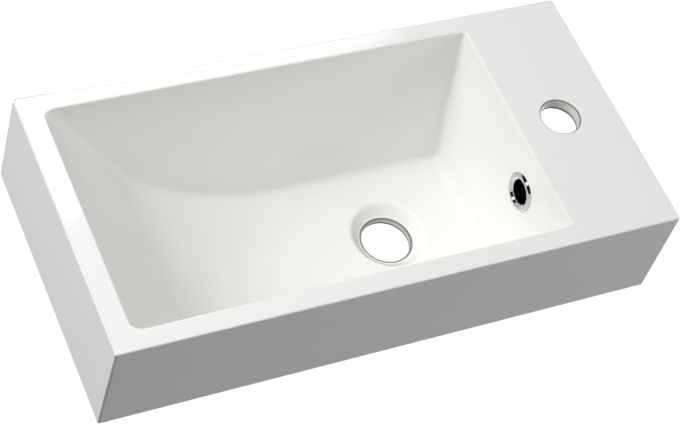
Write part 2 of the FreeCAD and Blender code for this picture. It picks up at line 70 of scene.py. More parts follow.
# How far a solid that cuts stands out of what it cuts, at least.
OVERRUN = 10 * MM

# The outer block. The front and the two ends lean out by the draft toward the skirt's lower edge.
HALF_LENGTH = 252.5 * MM
HALF_DEPTH = 124 * MM
SKIRT_HEIGHT = 100 * MM
SKIRT_WALL = 11 * MM
SKIRT_ROUND = 2 * MM
DRAFT = 1.5 * MM

# The casting is drawn about the middle of its top face, which lies at the top of the frame's box.
TOP_CENTRE = Vector((0, -HALF_DEPTH, CAD_BOUNDS[1][2]))

# The bowl's rim: its left end, its right end, and its front and back, from the middle.
RIM_LEFT = -233.5 * MM
RIM_RIGHT = 154.5 * MM
RIM_SIDE = 107 * MM

# How steep the bowl is: on the ramp, where its two arcs meet, at the front and back, at the right.
RAMP_SLOPE = math.radians(48)
KNEE_SLOPE = math.radians(25)
SIDE_SLOPE = math.radians(74)
END_SLOPE = math.radians(87)

# The height at which the ramp's straight part ends, and at which the shell's solid starts.
RAMP_FOOT = -75.3 * MM
SHELL_HEAD = -6 * MM

# Rounds in the bowl, from its right wall to the sides and to the floor, and outside its shell.
END_ROUND = 3.5 * MM
HEEL_ROUND = 8 * MM
SHELL_ROUND = 8 * MM

# The round on the skirt's lower edge and on the drilled holes.
EDGE_ROUND = 1.0 * MM

# The hollow's roof, which steps up under the ledge, and the rounds of its corners and its roof.
ROOF_DOWN = 36 * MM
LEDGE_START = 159 * MM
LEDGE_THICKNESS = 12 * MM
HOLLOW_ROUND = 8 * MM
ROOF_ROUND = 3 * MM

# Where the waste hole and the tap hole stand, to the right of the middle.
WASTE = 66.5 * MM
TAP = 197.5 * MM

# The flat seat round the waste hole, and the boss below it, which widens toward the shell, with
# the rounds from the floor into the dish, from the dish to the seat, and at the boss's end.
SEAT_RADIUS = 25.5 * MM
SEAT_THICKNESS = 7 * MM
BOSS_RADIUS = 34 * MM
BOSS_HEAD_RADIUS = 42 * MM
BOSS_HEIGHT = 14 * MM
DISH_ROUND = 4.5 * MM
SEAT_ROUND = 2.5 * MM
BOSS_ROUND = 1.5 * MM

# The wall bolts' holes, and the pads round them, whose face lies this far behind the middle.
BOLT_ACROSS = 210 * MM
BOLT_DOWN = 70 * MM
BOLT_RADIUS = 6 * MM
PAD_RADIUS = 16 * MM
PAD_FACE = 110 * MM
PAD_LENGTH = 8 * MM

# The overflow's axis starts on the bowl's right wall and leans down with that wall.
OVERFLOW_TILT = math.radians(3)
OVERFLOW_DOWN = 43 * MM
OVERFLOW_FORWARD = 39.2 * MM
OVERFLOW_RADIUS = 13.3 * MM
OVERFLOW_START = TOP_CENTRE + Vector((RIM_RIGHT - OVERFLOW_DOWN * math.tan(OVERFLOW_TILT),
                                      -OVERFLOW_FORWARD, -OVERFLOW_DOWN))

# The line of painted shade on the skirt's front left corner fades in between these two. Both add up how far
# left and how far forward of the origin a point is; the rounded corner's tip is at 501.4 mm.
CORNER_SHADE_START = 500.9 * MM
CORNER_SHADE_FULL = 501.3 * MM


# Settings

def linear(code):
    """An sRGB hex colour as linear red, green, blue and full alpha."""
    channels = [int(code[place:place + 2], 16) / 255 for place in (1, 3, 5)]
    return tuple(c / 12.92 if c <= 0.04045 else ((c + 0.055) / 1.055) ** 2.4 for c in channels) + (1.0,)


def length(name, description, default):
    """A length that a user can change."""
    return bpy.props.FloatProperty(name=name, description=description, default=default, min=0.1 * MM,
                                   unit="LENGTH", precision=4)


def colour(name, description, code):
    """A colour that a user can change."""
    return bpy.props.FloatVectorProperty(name=name, description=description, default=linear(code), size=4,
                                         min=0, max=1, subtype="COLOR")


class BASIN_PG_sizes(bpy.types.PropertyGroup):
    """Sizes of the casting and of the overflow set"""
    bowl_depth: length("Bowl depth", "From the rim down to the bowl's level floor", 131 * MM)
    bowl_wall: length("Bowl wall", "Thickness of the bowl's wall", 9 * MM)
    ramp_radius: length("Ramp radius", "Radius of the sweep at the foot of the ramp", 121 * MM)
    sweep_radius: length("Sweep radius", "Radius of the long sweep into the floor", 288 * MM)
    corner_round: length("Corner round", "Round between the floor and the sloping walls", 6 * MM)
    ramp_round: length("Ramp round", "Round between the ramp's top and the sloping walls", 11 * MM)
    rim_round: length("Rim round", "Round on the bowl's rim", 1.6 * MM)
    outer_round: length("Outer round", "Round on the outer edge of the top face", 1.5 * MM)
    tap_radius: length("Tap hole radius", "Radius of the hole in the ledge", 17.5 * MM)
    waste_radius: length("Waste hole radius", "Radius of the hole in the dish", 22.5 * MM)
    dish_radius: length("Dish radius", "Radius of the dish where it meets the floor", 34.5 * MM)
    dish_depth: length("Dish depth", "From the floor down to the waste's seat", 9.5 * MM)
    ring_radius: length("Ring radius", "Outer radius of the overflow ring's flange", 17.6 * MM)
    ring_bore: length("Ring bore", "Radius of the overflow ring's opening", 10.8 * MM)
    gasket_radius: length("Gasket radius", "Outer radius of the overflow gasket", 19 * MM)
    gasket_thickness: length("Gasket thickness", "Thickness of the sheet it is cut from", 2 * MM)
    spigot_length: length("Spigot length", "From the elbow's middle to the spigot's mouth", 40 * MM)


class BASIN_PG_finish(bpy.types.PropertyGroup):
    """Colours of the finishes"""
    coat: colour("Gel coat", "Glossy coat on the whole casting", "#F6F6F4")
    # The grey that paints shade on the edges and walls of the holes and down the front left corner's round.
    painted_edge_shade: colour("Edge shade", "Shade painted on the edges of the holes and down the front left corner", "#82817E")
    chrome: colour("Chrome", "Plate on the overflow ring", "#DEE0E2")
    rubber: colour("Rubber", "Gasket", "#2F2F30")
    plastic: colour("Plastic", "Overflow elbow", "#282A2C")


class BASIN_PG_studio(bpy.types.PropertyGroup):
    """Floor, light and camera"""
    light: bpy.props.FloatProperty(name="Light", description="Share of the lamps' full power", default=1,
                                   min=0, subtype="FACTOR", soft_max=2)
    sky: bpy.props.FloatProperty(name="Sky light", description="Strength of the light from all round",
                                 default=0.1, min=0)
    floor: colour("Floor", "Painted floor", "#ABABA9")
    floor_drop: length("Floor drop", "From the origin down to the floor", 0.85)
    lens: bpy.props.FloatProperty(name="Lens", description="Focal length of the camera", default=104.15,
                                  min=1, unit="CAMERA")


# Materials

def add_node(tree, kind, inputs=(), **settings):
    """Add a node with its settings, and give each input a value or a socket to follow."""
    node = tree.nodes.new(kind)
    for name, value in settings.items():
        setattr(node, name, value)
    for name, value in dict(inputs).items():
        if isinstance(value, bpy.types.NodeSocket):
            tree.links.new(value, node.inputs[name])
        else:
            node.inputs[name].default_value = value
    return node


def new_material(name, **shader_values):
    """A material with one Principled shader; returns it with its tree, shader and Object coordinates."""
    material = bpy.data.materials.new(name)
    material.use_nodes = True
    tree = material.node_tree
    tree.nodes.clear()
    shader = add_node(tree, "ShaderNodeBsdfPrincipled",
                      {key.replace("_", " "): value for key, value in shader_values.items()})
    add_node(tree, "ShaderNodeOutputMaterial", {"Surface": shader.outputs[0]})
    spot = add_node(tree, "ShaderNodeTexCoord").outputs["Object"]
    return material, tree, shader, spot


def drive(tree, shader, **sockets):
    """Let patterns set a shader's inputs."""
    for name, socket in sockets.items():
        tree.links.new(socket, shader.inputs[name.replace("_", " ")])


def patchy(tree, spot, size, tint, share):
    """A colour with soft patches of this size, which go down to a share of its brightness."""
    dark = tuple(channel * share for channel in tint[:3]) + (1.0,)
    patches = add_node(tree, "ShaderNodeTexNoise", {"Vector": spot, "Scale": 1 / size}).outputs["Fac"]
    return add_node(tree, "ShaderNodeMix", {"Factor": patches, 6: tint, 7: dark}, data_type="RGBA").outputs[2]


def smeared(tree, spot, size, low, high, detail=4.0):
    """A roughness that wanders between low and high in smears of this size."""
    smears = add_node(tree, "ShaderNodeTexNoise", {"Vector": spot, "Scale": 1 / size, "Detail": detail})
    return add_node(tree, "ShaderNodeMapRange", {"Value": smears.outputs["Fac"], "From Min": 0.3,
                                                 "From Max": 0.7, "To Min": low, "To Max": high}).outputs[0]


def dented(tree, spot, size, depth, **under):
    """A surface with faint dents of this size and depth, on its own or over another uneven surface."""
    dents = add_node(tree, "ShaderNodeTexNoise", {"Vector": spot, "Scale": 1 / size}).outputs["Fac"]
    return add_node(tree, "ShaderNodeBump", {"Height": dents, "Distance": depth, **under}).outputs[0]


def hole_shade_line(tree, spot, across, radius, top, bottom, wide):
    """Painted shade: one on the two edges of an upright drilled hole, a little on its wall, and nothing
    elsewhere.

    It ends this wide beyond the hole's radius, 1.1 mm below its top edge and 3.2 mm above its bottom
    edge, and fades over the last 0.6 mm.
    """
    fade = 0.6 * MM
    outer = radius + wide
    top_end = TOP_CENTRE.z + top - 1.1 * MM
    bottom_end = TOP_CENTRE.z + bottom + 3.2 * MM
    level = add_node(tree, "ShaderNodeVectorMath", {0: spot, 1: (1, 1, 0)}, operation="MULTIPLY").outputs[0]
    away = add_node(tree, "ShaderNodeVectorMath", {0: level, 1: (across, TOP_CENTRE.y, 0)},
                    operation="DISTANCE").outputs["Value"]
    inside = add_node(tree, "ShaderNodeMapRange", {"Value": away, "From Min": outer,
                                                   "From Max": outer - fade}).outputs[0]
    up = add_node(tree, "ShaderNodeSeparateXYZ", {0: spot}).outputs["Z"]
    at_top = add_node(tree, "ShaderNodeMapRange", {"Value": up, "From Min": top_end,
                                                   "From Max": top_end + fade, "To Min": 0.15}).outputs[0]
    at_bottom = add_node(tree, "ShaderNodeMapRange", {"Value": up, "From Min": bottom_end,
                                                      "From Max": bottom_end - fade}).outputs[0]
    edges = add_node(tree, "ShaderNodeMath", {0: at_top, 1: at_bottom}, operation="MAXIMUM").outputs[0]
    return add_node(tree, "ShaderNodeMath", {0: inside, 1: edges}, operation="MULTIPLY").outputs[0]


def corner_shade_line(tree, spot):
    """A faint line of painted shade down the round of the skirt's front left corner, which leans out with the
    draft on both sides.
    """
    across = add_node(tree, "ShaderNodeVectorMath", {0: spot, 1: (-1, -1, 2 * DRAFT / SKIRT_HEIGHT)},
                      operation="DOT_PRODUCT").outputs["Value"]
    return add_node(tree, "ShaderNodeMapRange", {"Value": across, "From Min": CORNER_SHADE_START,
                                                 "From Max": CORNER_SHADE_FULL, "To Max": 0.6}).outputs[0]


def gel_coat(finish, sizes):
    """Polyester gel coat sprayed into a polished mould: deep white gloss, with the mould's faint waves.

    Shade is painted on it as a thin grey line on the edges and walls of the holes,
    and as a hairline down the round of the front left corner.
    """
    material, tree, shader, spot = new_material("gloss_gel_coat", IOR=1.52)
    coat = patchy(tree, spot, 90 * MM, finish.coat, 0.975)
    polish = smeared(tree, spot, 35 * MM, 0.04, 0.09)
    _, seat, end = waste_levels(sizes)
    # Lines of painted shade: down the front left corner, and on the edges of the waste hole and the tap hole.
    shade_lines = (corner_shade_line(tree, spot),
            hole_shade_line(tree, spot, WASTE, sizes.waste_radius, seat, end, 2.2 * MM),
            hole_shade_line(tree, spot, TAP, sizes.tap_radius, 0, -LEDGE_THICKNESS, 1.5 * MM))
    # Along each line the coat's colour goes to the painted shade's grey, and its roughness to 0.6.
    for line in shade_lines:
        coat = add_node(tree, "ShaderNodeMix", {"Factor": line, 6: coat, 7: finish.painted_edge_shade},
                        data_type="RGBA").outputs[2]
        polish = add_node(tree, "ShaderNodeMix", {"Factor": line, "A": polish, "B": 0.6}).outputs[0]
    waves = dented(tree, spot, 45 * MM, 0.03 * MM)
    peel = dented(tree, spot, 6 * MM, 0.002 * MM, Normal=waves)
    drive(tree, shader, Base_Color=coat, Roughness=polish, Normal=peel)
    return material


def bright_chrome(finish):
    """Bright chrome plate on turned brass: a cool mirror with hairline polish."""
    material, tree, shader, spot = new_material("bright_chrome_plate", Metallic=1.0,
                                                Base_Color=finish.chrome)
    polish = smeared(tree, spot, 4 * MM, 0.03, 0.07)
    waves = dented(tree, spot, 5 * MM, 0.004 * MM)
    drive(tree, shader, Roughness=polish, Normal=waves)
    return material


def sheet_rubber(finish):
    """EPDM cut from sheet: black and matt, with the fine cloth print of the calendered sheet."""
    material, tree, shader, spot = new_material("sheet_rubber", Roughness=0.72)
    bloom = patchy(tree, spot, 9 * MM, finish.rubber, 0.6)
    cloth = dented(tree, spot, 0.8 * MM, 0.05 * MM)
    drive(tree, shader, Base_Color=bloom, Normal=cloth)
    return material


def moulded_polypropylene(finish):
    """Injection-moulded polypropylene from a spark-eroded mould: black, with a fine even grain."""
    material, tree, shader, spot = new_material("moulded_polypropylene", IOR=1.49)
    flow = patchy(tree, spot, 12 * MM, finish.plastic, 0.6)
    sheen = smeared(tree, spot, 12 * MM, 0.38, 0.5, detail=2.0)
    grain = dented(tree, spot, 0.9 * MM, 0.03 * MM)
    drive(tree, shader, Base_Color=flow, Roughness=sheen, Normal=grain)
    return material


# Shapes

def add_object(name, data):
    """Put an object with this data in the scene."""
    holder = bpy.data.objects.new(name, data)
    bpy.context.scene.collection.objects.link(holder)
    return holder


def add_mesh(name, mesh, *materials):
    """Turn a bmesh, which is used up, into an object of the scene."""
    data = bpy.data.meshes.new(name)
    mesh.to_mesh(data)
    mesh.free()
    for material in materials:
        data.materials.append(material)
    return add_object(name, data)


def off_bench(holder, *tools):
    """The mesh that an object's modifiers make. The object and its tools are cleared away."""
    mesh = bmesh.new()
    mesh.from_object(holder, bpy.context.evaluated_depsgraph_get())
    for item in (holder,) + tools:
        bpy.data.meshes.remove(item.data)
    return mesh


def carved(mesh, steps):
    """Join solids to a mesh or take them away, one after another."""
    holder = add_mesh("bench", mesh)
    tools = []
    for operation, tool in steps:
        tools.append(add_mesh("bench", tool))
        cut = holder.modifiers.new(operation, "BOOLEAN")
        cut.operation = operation
        cut.solver = "EXACT"
        cut.object = tools[-1]
    return off_bench(holder, *tools)


def healed(mesh):
    """Close the slits that joining and cutting leave between nearly level faces."""
    bmesh.ops.remove_doubles(mesh, verts=mesh.verts, dist=NEAR / 2)
    bmesh.ops.holes_fill(mesh, edges=[edge for edge in mesh.edges if edge.is_boundary])
    bmesh.ops.dissolve_degenerate(mesh, edges=mesh.edges, dist=NEAR / 2)
    return mesh


# The widest reach of a round from its edge.
WIDEST = 12 * MM


def weigh(mesh, reach_of):
    """Note on each edge how far its round reaches to both sides."""
    weights = mesh.edges.layers.float.new("bevel_weight_edge")
    for edge in mesh.edges:
        edge[weights] = reach_of(edge) / WIDEST


def add_rounds(holder, segments):
    """Round the edges of an object by what is noted on them."""
    rounds = holder.modifiers.new("rounds", "BEVEL")
    rounds.affect = "EDGES"
    rounds.limit_method = "WEIGHT"
    rounds.offset_type = "OFFSET"
    rounds.width = WIDEST
    rounds.segments = segments
    rounds.profile = 0.5
    rounds.material = -1
    rounds.use_clamp_overlap = False
    rounds.face_strength_mode = "FSTR_ALL"


def rounded(mesh, reach_of, segments):
    """Round each edge as far to both sides as reach_of says, and return the result as a new mesh."""
    weigh(mesh, reach_of)
    holder = add_mesh("bench", mesh)
    add_rounds(holder, segments)
    result = off_bench(holder)
    result.edges.layers.float.remove(result.edges.layers.float["bevel_weight_edge"])
    return result


def reach(edge, radius):
    """How far a round of this radius reaches from its edge, which is nothing where the faces are level."""
    angle = edge.calc_face_angle(0)
    return radius * math.tan(angle / 2) if angle > math.radians(3) else 0


def rise(edge):
    """How far an edge climbs."""
    return abs(edge.verts[0].co.z - edge.verts[1].co.z)


def block(low, high):
    """A box between two corners."""
    mesh = bmesh.new()
    middle = (Vector(low) + Vector(high)) / 2
    bmesh.ops.create_cube(mesh, size=1, matrix=Matrix.Translation(middle))
    bmesh.ops.scale(mesh, verts=mesh.verts, vec=Vector(high) - Vector(low), space=Matrix.Translation(-middle))
    return mesh


def turn_to(along):
    """The turn that brings the Z axis along a vector."""
    return along.to_track_quat("Z", "Y").to_matrix().to_4x4()


def cone(start, finish, radius_start, radius_finish, segments=96):
    """A round solid from one point to another."""
    mesh = bmesh.new()
    along = Vector(finish) - Vector(start)
    middle = (Vector(start) + Vector(finish)) / 2
    bmesh.ops.create_cone(mesh, cap_ends=True, segments=segments, radius1=radius_start,
                          radius2=radius_finish, depth=along.length,
                          matrix=Matrix.Translation(middle) @ turn_to(along))
    return mesh


def upright(across, low, high, radius, head_radius=None):
    """A round solid that stands midway between front and back."""
    return cone((across, 0, low), (across, 0, high), radius, head_radius or radius)


def at_bolts(near, far, radius, segments):
    """A round solid on the axis of each wall bolt, from one depth to another."""
    return [cone((across, near, -BOLT_DOWN), (across, far, -BOLT_DOWN), radius, radius, segments)
            for across in (-BOLT_ACROSS, BOLT_ACROSS)]


def new_ends(made):
    """The vertices among what an operator made."""
    return [item for item in made if isinstance(item, bmesh.types.BMVert)]


def extend(mesh, vert, x, z):
    """Draw a straight edge from a vertex and return its other end."""
    end = bmesh.ops.extrude_vert_indiv(mesh, verts=[vert])["verts"][0]
    end.co = (x, 0, z)
    return end


def cut_through(mesh, point, normal, **settings):
    """Cut all of a mesh by a plane."""
    return bmesh.ops.bisect_plane(mesh, geom=mesh.verts[:] + mesh.edges[:] + mesh.faces[:],
                                  dist=0.0001 * MM, plane_co=point, plane_no=normal, **settings)


def scored(mesh, *levels):
    """Score a solid all round at the levels where it will meet the casting's faces."""
    for up in levels:
        for vert in new_ends(cut_through(mesh, (0, 0, up), (0, 0, 1))["geom_cut"]):
            vert.co.z = up
    return mesh


def bowl(sizes, grow, head, ramp_steps, arc_steps):
    """The bowl as a solid with sharp edges: a lengthwise outline cut to the sloping front and back.

    Grown by nothing it is the bowl's inside, grown by the wall's thickness its outside.
    """
    floor = -sizes.bowl_depth - grow
    ramp_arc, sweep = sizes.ramp_radius + grow, sizes.sweep_radius + grow
    left = RIM_LEFT - grow / math.sin(RAMP_SLOPE)
    right = RIM_RIGHT + grow / math.sin(END_SLOPE)
    knee_up = floor + sweep * (1 - math.cos(KNEE_SLOPE))
    foot_up = knee_up + ramp_arc * (math.cos(KNEE_SLOPE) - math.cos(RAMP_SLOPE))
    foot = left - foot_up / math.tan(RAMP_SLOPE)
    knee = foot + ramp_arc * (math.sin(RAMP_SLOPE) - math.sin(KNEE_SLOPE))
    mesh = bmesh.new()
    first = mesh.verts.new((left - head / math.tan(RAMP_SLOPE), 0, head))
    vert = first
    for step in range(ramp_steps):
        up = head + (foot_up - head) * (step + 1) / ramp_steps
        vert = extend(mesh, vert, left - up / math.tan(RAMP_SLOPE), up)
    arcs = ((foot + ramp_arc * math.sin(RAMP_SLOPE), foot_up + ramp_arc * math.cos(RAMP_SLOPE),
             RAMP_SLOPE - KNEE_SLOPE),
            (knee + sweep * math.sin(KNEE_SLOPE), floor + sweep, KNEE_SLOPE))
    for x, z, angle in arcs:
        arc = bmesh.ops.spin(mesh, geom=[vert], cent=(x, 0, z), axis=(0, -1, 0), angle=angle, steps=arc_steps)
        vert = arc["geom_last"][0]
    vert = extend(mesh, vert, right + floor / math.tan(END_SLOPE), floor)
    vert = extend(mesh, vert, right + head / math.tan(END_SLOPE), head)
    mesh.edges.new((vert, first))
    wide = 200 * MM
    bmesh.ops.translate(mesh, verts=mesh.verts, vec=(0, -wide, 0))
    made = bmesh.ops.extrude_edge_only(mesh, edges=mesh.edges)["geom"]
    bmesh.ops.translate(mesh, verts=new_ends(made), vec=(0, 2 * wide, 0))
    for way in (-1, 1):
        cut_through(mesh, (0, way * (RIM_SIDE + grow / math.sin(SIDE_SLOPE)), 0),
                    (0, way * math.sin(SIDE_SLOPE), -math.cos(SIDE_SLOPE)), clear_outer=True)
    bmesh.ops.holes_fill(mesh, edges=[edge for edge in mesh.edges if edge.is_boundary])
    bmesh.ops.recalc_face_normals(mesh, faces=mesh.faces)
    return mesh


def bowl_wall(face):
    """Which wall of the bowl a face belongs to."""
    if abs(face.normal.y) > 0.9:
        return "side"
    if face.normal.x > 0.9:
        return "end"
    return "head" if face.normal.z > 0.9 else "scoop"


def cavity_reach(edge, sizes):
    """The rounds inside the bowl, which grow up the ramp's two edges."""
    walls = {bowl_wall(face) for face in edge.link_faces}
    if walls == {"scoop", "side"}:
        up = (edge.verts[0].co.z + edge.verts[1].co.z) / 2
        share = max(0, (up - RAMP_FOOT) / (OVERRUN - RAMP_FOOT))
        return reach(edge, sizes.corner_round + (sizes.ramp_round - sizes.corner_round) * share)
    if walls == {"end", "side"}:
        return reach(edge, END_ROUND)
    return reach(edge, HEEL_ROUND) if walls == {"end", "scoop"} else 0


def shell_reach(edge):
    """The rounds outside the bowl, all equally wide."""
    walls = {bowl_wall(face) for face in edge.link_faces}
    return SHELL_ROUND if len(walls) == 2 and "head" not in walls else 0


def skirt():
    """The outer block, with a draft on the three sides that show."""
    mesh = block((-HALF_LENGTH, -HALF_DEPTH, -SKIRT_HEIGHT), (HALF_LENGTH, HALF_DEPTH, 0))
    for vert in mesh.verts:
        if vert.co.z < -NEAR:
            vert.co.x += math.copysign(DRAFT, vert.co.x)
            vert.co.y -= DRAFT if vert.co.y < 0 else 0
    return rounded(mesh, lambda edge: SKIRT_ROUND if rise(edge) > NEAR else 0, 4)


def hollow():
    """What the core leaves free under the rim and the ledge."""
    across, side = HALF_LENGTH - SKIRT_WALL, HALF_DEPTH - SKIRT_WALL
    mesh = block((-across, -side, -SKIRT_HEIGHT - 2 * OVERRUN), (across, side, -ROOF_DOWN))
    cut_through(mesh, (LEDGE_START, 0, 0), (1, 0, 0))
    roof = [face for face in mesh.faces
            if face.normal.z > 0.9 and face.calc_center_median().x > LEDGE_START]
    raised = bmesh.ops.extrude_face_region(mesh, geom=roof)["geom"]
    bmesh.ops.translate(mesh, verts=new_ends(raised), vec=(0, 0, ROOF_DOWN - LEDGE_THICKNESS))
    bmesh.ops.delete(mesh, geom=roof, context="FACES_ONLY")
    bmesh.ops.recalc_face_normals(mesh, faces=mesh.faces)
    bmesh.ops.dissolve_limit(mesh, angle_limit=math.radians(1), verts=mesh.verts, edges=mesh.edges)
    return mesh


def hollow_reach(edge):
    """The upright corners of the hollow, and the edges of its roof."""
    if edge.calc_face_angle(0) < math.radians(10):
        return 0
    if rise(edge) > NEAR:
        return HOLLOW_ROUND
    return ROOF_ROUND if edge.verts[0].co.z > -ROOF_DOWN - NEAR and edge.is_convex else 0


def waste_levels(sizes):
    """The heights of the bowl's floor, of the waste's seat and of the boss's end."""
    floor = -sizes.bowl_depth
    seat = floor - sizes.dish_depth
    return floor, seat, seat - SEAT_THICKNESS


def underside(sizes):
    """The steps that hollow out the block and leave the bowl's shell, its boss and the bolts' pads."""
    _, _, end = waste_levels(sizes)
    room = scored(rounded(hollow(), hollow_reach, 5), -SKIRT_HEIGHT)
    shell = rounded(bowl(sizes, sizes.bowl_wall, SHELL_HEAD, 1, 16), shell_reach, 4)
    boss = upright(WASTE, end, end + BOSS_HEIGHT, BOSS_RADIUS, BOSS_HEAD_RADIUS)
    pads = at_bolts(PAD_FACE, PAD_FACE + PAD_LENGTH, PAD_RADIUS, 64)
    return [("DIFFERENCE", room)] + [("UNION", solid) for solid in (shell, boss, *pads)]


def openings(sizes):
    """The steps that cut the bowl, its dish and every hole."""
    floor, seat, end = waste_levels(sizes)
    cavity = rounded(bowl(sizes, 0, OVERRUN, 10, 24), lambda edge: cavity_reach(edge, sizes), 8)
    dish_slope = (sizes.dish_radius - SEAT_RADIUS) / sizes.dish_depth
    dish = upright(WASTE, seat, floor + OVERRUN, SEAT_RADIUS, sizes.dish_radius + OVERRUN * dish_slope)
    waste = upright(WASTE, end - OVERRUN, seat + OVERRUN, sizes.waste_radius)
    tap = upright(TAP, -LEDGE_THICKNESS - OVERRUN, OVERRUN, sizes.tap_radius)
    along = Vector((math.cos(OVERFLOW_TILT), 0, -math.sin(OVERFLOW_TILT)))
    mouth = OVERFLOW_START - TOP_CENTRE
    overflow = cone(mouth - OVERRUN * along, mouth + (sizes.bowl_wall + OVERRUN) * along,
                    OVERFLOW_RADIUS, OVERFLOW_RADIUS)
    bolts = at_bolts(PAD_FACE - OVERRUN, HALF_DEPTH + OVERRUN, BOLT_RADIUS, 48)
    solids = (scored(cavity, 0), scored(dish, floor), scored(waste, end, seat),
              scored(tap, -LEDGE_THICKNESS, 0), overflow, *bolts)
    return [("DIFFERENCE", solid) for solid in solids]


def hole_rounds(sizes):
    """Circles whose edge is rounded: where the axis is, the radius, the height, and the round."""
    floor, seat, end = waste_levels(sizes)
    return (
        (TAP, sizes.tap_radius, 0, EDGE_ROUND),
        (TAP, sizes.tap_radius, -LEDGE_THICKNESS, EDGE_ROUND),
        (WASTE, sizes.dish_radius, floor, DISH_ROUND),
        (WASTE, SEAT_RADIUS, seat, SEAT_ROUND),
        (WASTE, sizes.waste_radius, seat, EDGE_ROUND),
        (WASTE, sizes.waste_radius, end, EDGE_ROUND),
        (WASTE, BOSS_RADIUS, end, BOSS_ROUND),
    )


def casting_reach(edge, sizes, circles):
    """The rounds at the rim, the outer edges and the holes of the casting."""
    places = [vert.co for vert in edge.verts]
    for across, radius, up, amount in circles:
        if all(abs(p.z - up) < NEAR and abs(math.hypot(p.x - across, p.y) - radius) < NEAR for p in places):
            return reach(edge, amount)
    if all(abs(p.z + SKIRT_HEIGHT) < NEAR for p in places):
        return reach(edge, EDGE_ROUND)
    if all(abs(p.z) < NEAR for p in places):
        outside = all(abs(p.x) > HALF_LENGTH - SKIRT_WALL or abs(p.y) > HALF_DEPTH - SKIRT_WALL
                      for p in places)
        return reach(edge, sizes.outer_round if outside else sizes.rim_round)
    return 0


# Pieces

def new_piece(name, mesh, node, material):
    """Turn a bmesh into the visible piece that stands for a node of the frame."""
    piece = add_mesh(name, mesh, material)
    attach(piece, BODY)
    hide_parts(node)
    return piece


def smooth(piece):
    """Shade smooth, with sharp edges kept sharp and flats kept flat."""
    for polygon in piece.data.polygons:
        polygon.use_smooth = True
    piece.data.set_sharp_from_angle(angle=math.radians(35))
    weights = piece.modifiers.new("weighted_normals", "WEIGHTED_NORMAL")
    weights.keep_sharp = True
    weights.use_face_influence = bool(piece.modifiers.get("rounds"))


class BASIN_OT_casting(bpy.types.Operator):
    """Cast the basin in one piece: block, hollow underside, bowl, dish and holes, under its gel coat"""
    bl_idname = "basin.casting"
    bl_label = "Casting"

    def execute(self, context):
        sizes, finish = context.scene.basin_sizes, context.scene.basin_finish
        mesh = healed(carved(skirt(), underside(sizes) + openings(sizes)))
        circles = hole_rounds(sizes)
        weigh(mesh, lambda edge: casting_reach(edge, sizes, circles))
        bmesh.ops.translate(mesh, verts=mesh.verts, vec=TOP_CENTRE)
        piece = new_piece("casting", mesh, "basin_body", gel_coat(finish, sizes))
        add_rounds(piece, 5)
        smooth(piece)
        return {"FINISHED"}


# The overflow's pieces are drawn along the X axis from the bowl's wall outwards, in millimetres.

def turned(outline, axis=(1, 0, 0), steps=96):
    """A solid turned about an axis from an outline of (along, radius, round) in millimetres.

    Each corner of the outline is rounded by its own amount first.
    """
    mesh = bmesh.new()
    axis = Vector(axis)
    out = Vector((0, 1, 0))
    corners = [mesh.verts.new((axis * along + out * radius) * MM) for along, radius, _ in outline]
    mesh.faces.new(corners)
    for corner, (_, _, amount) in zip(corners, outline):
        if amount:
            bmesh.ops.bevel(mesh, geom=[corner], affect="VERTICES", offset=amount * MM, offset_type="OFFSET",
                            segments=6, profile=0.5, material=-1)
    bmesh.ops.delete(mesh, geom=mesh.faces[:], context="FACES_ONLY")
    bmesh.ops.spin(mesh, geom=mesh.verts[:] + mesh.edges[:], cent=(0, 0, 0), axis=axis, angle=math.tau,
                   steps=steps, use_merge=True)
    bmesh.ops.remove_doubles(mesh, verts=mesh.verts, dist=0.0005 * MM)
    bmesh.ops.recalc_face_normals(mesh, faces=mesh.faces)
    return mesh


def overflow_piece(name, mesh, node, material):
    """Move a shape from the X axis to the overflow's axis, and make it a piece."""
    turn = Matrix.Rotation(OVERFLOW_TILT, 4, "Y")
    bmesh.ops.transform(mesh, matrix=Matrix.Translation(OVERFLOW_START) @ turn, verts=mesh.verts)
    smooth(new_piece(name, mesh, node, material))


class BASIN_OT_ring(bpy.types.Operator):
    """Turn the chromed overflow ring: a domed flange on its stem"""
    bl_idname = "basin.ring"
    bl_label = "Overflow ring"

    def execute(self, context):
        sizes = context.scene.basin_sizes
        bore, edge = sizes.ring_bore / MM, sizes.ring_radius / MM
        stem, tail = bore + 1.5, 19
        # Along the bore and back along the stem, then out over the wall and back over the dome.
        mesh = turned(((-0.4, bore, 0.8), (tail, bore, 0.3), (tail, stem, 0.3), (0, stem, 0),
                       (0, edge, 0.1), (-0.4, edge, 0.2), (-1.9, edge - 1.7, 0.8), (-2.8, edge - 3.6, 1.3)))
        overflow_piece("overflow_ring_chrome", mesh, "overflow_ring",
                       bright_chrome(context.scene.basin_finish))
        return {"FINISHED"}


class BASIN_OT_gasket(bpy.types.Operator):
    """Cut the rubber gasket behind the casting"""
    bl_idname = "basin.gasket"
    bl_label = "Overflow gasket"

    def execute(self, context):
        sizes = context.scene.basin_sizes
        near = sizes.bowl_wall / MM
        far = near + sizes.gasket_thickness / MM
        hole, edge = 12.7, sizes.gasket_radius / MM
        mesh = turned(((near, hole, 0.2), (far, hole, 0.2), (far, edge, 0.4), (near, edge, 0.4)))
        overflow_piece("overflow_gasket_rubber", mesh, "overflow_gasket",
                       sheet_rubber(context.scene.basin_finish))
        return {"FINISHED"}


